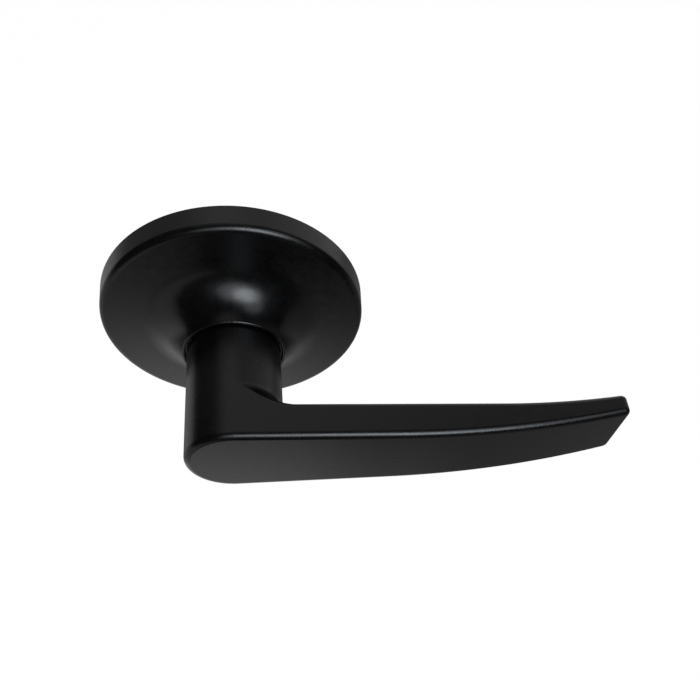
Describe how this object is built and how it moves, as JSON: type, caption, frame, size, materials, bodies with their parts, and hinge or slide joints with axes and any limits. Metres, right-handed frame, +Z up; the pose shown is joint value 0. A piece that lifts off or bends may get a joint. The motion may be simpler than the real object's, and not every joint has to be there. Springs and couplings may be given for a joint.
{
  "type": "door lever trim",
  "caption": "Passage lever trim: round flared rose over a sprung cage, with a turning lever whose flat tapered blade curves back towards the door, and a square spindle.",
  "frame": {"origin": "on the lever's turning axis, in the plane of the door's face, midway between the two through-bolts", "axes": "-Y out from the door towards the user, +Y into the door along the spindle, +X along the lever's blade, +Z up"},
  "size_m": [0.1706, 0.0991, 0.0888],
  "materials": {
    "satin_black_coat": "satin-matte black coating on a zinc casting or pressed brass",
    "cast_zinc": "as-cast zinc alloy, bare",
    "zinc_plated_steel": "bright zinc plating",
    "spring_steel": "oil-tempered spring steel",
    "sintered_bronze": "porous sintered bronze, oiled",
    "black_nylon": "moulded nylon, matte"
  },
  "bodies": {
    "trim": {"rose": "satin_black_coat", "spring_cage": "cast_zinc", "cage_cover": "zinc_plated_steel", "cover_screws": "zinc_plated_steel", "front_bushing": "sintered_bronze", "collar_ring": "black_nylon", "return_spring": "spring_steel", "bolt_post_upper": "zinc_plated_steel", "bolt_post_lower": "zinc_plated_steel", "clip_rivets": "zinc_plated_steel", "rose_clip_1": "spring_steel", "rose_clip_2": "spring_steel", "rose_clip_3": "spring_steel"},
    "lever": {"lever_handle": "satin_black_coat", "drive_tube": "zinc_plated_steel", "spring_driver": "zinc_plated_steel", "retaining_ring": "spring_steel", "catch_holder": "cast_zinc", "catch_spring": "spring_steel", "spindle_hub": "cast_zinc", "drive_spindle": "zinc_plated_steel", "spindle_pin": "zinc_plated_steel"},
    "catch": {"lever_catch": "zinc_plated_steel"}
  },
  "joints": [
    {"name": "lever_turn", "type": "hinge", "parent": "trim", "child": "lever", "pos_m": [0, 0, 0], "axis": [0, 1, 0], "range_deg": [-45, 45], "stiffness_Nm_per_rad": 3, "springref_deg": -3.44, "deforming": ["return_spring"]},
    {"name": "catch_press", "type": "slide", "parent": "lever", "child": "catch", "axis": [0, 0, 1], "range_m": [0, 0.0022], "stiffness_N_per_m": 400, "springref_m": -0.002, "deforming": ["catch_spring"]}
  ]
}
